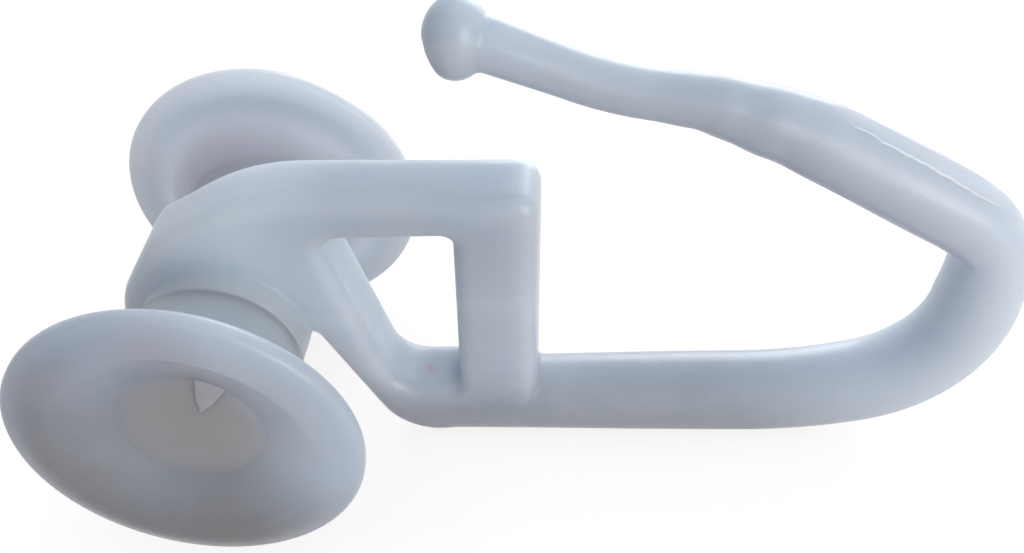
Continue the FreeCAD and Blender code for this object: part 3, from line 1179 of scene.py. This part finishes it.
@dataclass
class DishedWheel:
    """A wheel with a dished closed face outside and a collar that runs against the boss."""

    body: Body
    side: float
    finish: MilkyPlastic
    gate_finish: MilkyPlastic
    wheel_r: float = 5.0
    face_out: float = 5.92
    tread_w: float = 0.72
    tread_edge: float = 0.26
    crown_r: float = 4.3
    crown_edge: float = 1.1
    crown_fall: float = 0.26
    lip_r: float = 3.7
    lip_fall: float = 0.12
    lip_edge: float = 0.5
    floor_r: float = 2.1
    floor_edge: float = 0.4
    dish_deep: float = 0.92
    back_lip_r: float = 4.35
    back_step: float = 0.2
    back_edge: float = 0.4
    hollow_r: float = 3.55
    hollow_deep: float = 0.1
    hollow_edge: float = 0.6
    web_fall: float = 0.95
    web_edge: float = 0.7
    collar_r: float = 2.5
    collar_in: float = 2.0
    collar_edge: float = 0.05
    bore_r: float = 1.05
    bore_edge: float = 0.06
    undercut_r: float = 1.36
    undercut_out: float = 3.75
    undercut_edge: float = 0.1
    bore_out: float = 4.5
    gate_deg: float = 59.0
    gate_w: float = 1.05
    gate_far: float = 2.5
    gate_tip: float = 0.82
    gate_neck: float = 0.5
    gate_edge: float = 0.1
    gate_tear: float = 0.06
    gate_point: float = 0.05
    gate_h: float = 0.12
    gate_rings: tuple[Pair, ...] = ((-1.0, 1.1), (0.05, 1.03), (0.4, 0.93), (0.55, 0.78))
    torn_h: float = 0.05
    torn_per_mm: float = 4.0
    segments: int = 160
    step: float = 0.22

    def build(self) -> list[bpy.types.Object]:
        """Turn the wheel and lay the gate's torn stub on its dish floor.

        Returns:
            The wheel and the stub.
        """
        wheel = self.turned()
        wheel.data.materials.append(self.finish.material())
        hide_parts(self.body.value)
        stub = self.gate()
        stub.data.materials.append(self.gate_finish.material())
        for piece in (wheel, stub):
            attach(piece, self.body.value)
        return [wheel, stub]

    def turned(self) -> bpy.types.Object:
        """Turn the wheel's profile about the axle.

        Returns:
            The turned wheel.
        """
        floor_out = self.face_out - self.dish_deep
        back_out = self.face_out - self.tread_w - self.back_step
        corners = [
            (0.0, floor_out, 0.0),
            (self.floor_r, floor_out, self.floor_edge),
            (self.lip_r, self.face_out - self.lip_fall, self.lip_edge),
            (self.crown_r, self.face_out, self.crown_edge),
            (self.wheel_r, self.face_out - self.crown_fall, self.tread_edge),
            (self.wheel_r, self.face_out - self.tread_w, self.tread_edge),
            (self.back_lip_r, back_out, self.back_edge),
            (self.hollow_r, back_out + self.hollow_deep, self.hollow_edge),
            (self.collar_r, back_out - self.web_fall, self.web_edge),
            (self.collar_r, self.collar_in, self.collar_edge),
            (self.bore_r, self.collar_in, self.bore_edge),
            (self.bore_r, self.undercut_out, 0.0),
            (self.undercut_r, self.undercut_out, 0.0),
            (self.undercut_r, self.bore_out, self.undercut_edge),
            (0.0, self.bore_out, 0.0),
        ]
        shape = bmesh.new()
        profile = divided(rounded_outline(corners, closed=False), self.step)
        turn_profile(shape, [(radius, out * self.side) for radius, out in profile], self.segments)
        return from_bmesh(f"{self.body.value}_moulding", shape)

    def gate(self) -> bpy.types.Object:
        """Shape the torn stub of the mould's gate on the dish floor.

        Returns:
            The stub.
        """
        floor_out = self.face_out - self.dish_deep
        stub = rounded_outline([
            (self.gate_far, self.gate_w * 0.58, self.gate_edge),
            (self.gate_tip + self.gate_neck, self.gate_w * 0.2, self.gate_tear),
            (self.gate_tip, -self.gate_w * 0.04, self.gate_point),
            (self.gate_tip + self.gate_neck, -self.gate_w * 0.24, self.gate_tear),
            (self.gate_far, -self.gate_w * 0.46, self.gate_edge),
        ], closed=True)
        turn = math.radians(self.gate_deg)
        middle = (self.gate_far + self.gate_tip) / 2.0
        shape = bmesh.new()
        rings = []
        for rise, grow in self.gate_rings:
            ring = []
            for out, aside in stub:
                out = middle + (out - middle) * grow
                spot = Vector((out * self.torn_per_mm, aside * self.torn_per_mm, rise))
                torn = self.torn_h * noise.noise(spot)
                height = self.side * (floor_out + self.gate_h * rise + torn)
                across = out * math.cos(turn) - aside * grow * math.sin(turn)
                ring.append(Vector((across, height, out * math.sin(turn) + aside * grow * math.cos(turn))))
            rings.append(ring)
        skin_rings(shape, rings)
        return from_bmesh(f"{self.body.value}_gate_stub", shape)


@dataclass(frozen=True)
class Lamp:
    """A square soft lamp: where it hangs and its side in metres, its power in watts, its tint."""

    name: str
    place: Triple
    size: float
    power: float
    tint: Colour


@dataclass
class Studio:
    """Pale floor, soft light and the camera of the photograph."""

    floor_z: float = -5.56
    floor_size: float = 3.0
    floor_cells: int = 8
    floor_dark: Colour = (0.43, 0.40, 0.38)
    floor_pale: Colour = (0.45, 0.42, 0.40)
    floor_speckles: float = 60.0
    floor_glow: float = 0.76
    camera_place: Triple = (12.207, -23.571, 23.063)
    camera_turn: Triple = (46.9051, 4.7649, 3.7862)
    camera_reach: Pair = (0.001, 10.0)
    lens: float = 38.2126
    sensor: float = 36.0
    sky_side: Triple = (0.45, 0.45, 0.77)
    sky_range: Pair = (-0.7, 0.8)
    sky_tone: Colour = (0.53, 0.58, 0.65)
    room_tone: Colour = (0.16, 0.14, 0.13)
    lamp_aim: Triple = (0.009, 0.0, 0.0)
    lamps: tuple[Lamp, ...] = (
        Lamp("window", (0.05, 0.17, 0.05), 0.12, 0.19, (0.96, 0.98, 1.0)),
        Lamp("side", (0.14, -0.15, 0.04), 0.12, 0.21, (1.0, 0.99, 0.98)),
    )

    def build(self) -> None:
        """Build the floor, the lights, the world and the camera."""
        self.floor()
        self.world()
        for lamp in self.lamps:
            self.hang(lamp)
        self.camera()
        bpy.context.scene.view_settings.view_transform = "Standard"

    def floor(self) -> None:
        """Lay a wide pale floor that stays near white for the camera and keeps the shadow."""
        shape = bmesh.new()
        cells = self.floor_cells
        bmesh.ops.create_grid(shape, x_segments=cells, y_segments=cells, size=self.floor_size / 2.0 / MM)
        bmesh.ops.translate(shape, vec=(0.0, 0.0, self.floor_z), verts=shape.verts[:])
        floor = from_bmesh("floor", shape)
        material = bpy.data.materials.new("pale_floor")
        material.use_nodes = True
        graph = Graph(material.node_tree)
        speckle = graph.add("ShaderNodeTexNoise", {"Scale": self.floor_speckles, "Detail": 2.0})
        tone = graph.mix(speckle.outputs["Fac"], self.floor_dark, self.floor_pale)
        card = graph.add("ShaderNodeBsdfDiffuse", {"Color": tone})
        strength = graph.math("MULTIPLY", graph.seen(), self.floor_glow)
        glow = graph.add("ShaderNodeEmission", {"Strength": strength})
        both = graph.add("ShaderNodeAddShader")
        graph.tree.links.new(card.outputs["BSDF"], both.inputs[0])
        graph.tree.links.new(glow.outputs["Emission"], both.inputs[1])
        graph.add("ShaderNodeOutputMaterial", {"Surface": both.outputs["Shader"]})
        floor.data.materials.append(material)

    def world(self) -> None:
        """Fill the room with soft light from above the window, white where it is seen itself."""
        world = bpy.data.worlds.new("studio")
        bpy.context.scene.world = world
        world.use_nodes = True
        graph = Graph(world.node_tree)
        facing = graph.add("ShaderNodeVectorMath", operation="DOT_PRODUCT")
        graph.tree.links.new(graph.add("ShaderNodeTexCoord").outputs["Generated"], facing.inputs[0])
        facing.inputs[1].default_value = self.sky_side
        low, high = self.sky_range
        share = graph.ramp(facing.outputs["Value"], (low, 0.0), (high, 1.0))
        tone = graph.mix(share, self.room_tone, self.sky_tone)
        soft = graph.add("ShaderNodeBackground", {"Color": tone, "Strength": 1.0})
        white = graph.add("ShaderNodeBackground", {"Color": (1.0, 1.0, 1.0, 1.0), "Strength": 1.0})
        pick = graph.add("ShaderNodeMixShader")
        graph.tree.links.new(graph.seen(), pick.inputs[0])
        graph.tree.links.new(soft.outputs["Background"], pick.inputs[1])
        graph.tree.links.new(white.outputs["Background"], pick.inputs[2])
        graph.add("ShaderNodeOutputWorld", {"Surface": pick.outputs["Shader"]})

    def hang(self, lamp: Lamp) -> None:
        """Hang a lamp and aim it at the object.

        Args:
            lamp: The lamp.
        """
        light = bpy.data.lights.new(lamp.name, "AREA")
        light.shape = "SQUARE"
        light.size = lamp.size
        light.energy = lamp.power
        light.color = lamp.tint
        hung = bpy.data.objects.new(lamp.name, light)
        bpy.context.scene.collection.objects.link(hung)
        ray = Vector(self.lamp_aim) - Vector(lamp.place)
        hung.location = lamp.place
        hung.rotation_euler = ray.to_track_quat("-Z", "Y").to_euler()

    def camera(self) -> None:
        """Place the camera where the photograph was taken from."""
        data = bpy.data.cameras.new("photo_camera")
        data.sensor_fit = "HORIZONTAL"
        data.sensor_width = self.sensor
        data.lens = self.lens
        data.clip_start, data.clip_end = self.camera_reach
        camera = bpy.data.objects.new("photo_camera", data)
        bpy.context.scene.collection.objects.link(camera)
        camera.location = Vector(self.camera_place) * MM
        camera.rotation_euler = Euler([math.radians(angle) for angle in self.camera_turn], "XYZ")
        bpy.context.scene.camera = camera


def main() -> None:
    """Build the pieces in order and report each one."""
    logging.basicConfig(level=logging.INFO, format="%(name)s: %(message)s")
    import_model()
    for make in (milk_cloud_group, mould_skin_group, painted_dish_light_group):
        LOG.info("effect %s", make().name)
    hook = HookMoulding()
    moulding = hook.build()
    pieces = [moulding, hook.trim_flash(moulding)]
    pieces.extend(DishedWheel(Body.FRONT_WHEEL, -1.0, FRONT_WHEEL_SHADED_FINISH, FRONT_GATE_SHADED_FINISH).build())
    pieces.extend(DishedWheel(Body.REAR_WHEEL, 1.0, REAR_WHEEL_LIT_FINISH, REAR_GATE_LIT_FINISH).build())
    for piece in pieces:
        LOG.info("piece %s with %d faces", piece.name, len(piece.data.polygons))
    Studio().build()


if __name__ == "__main__":
    main()
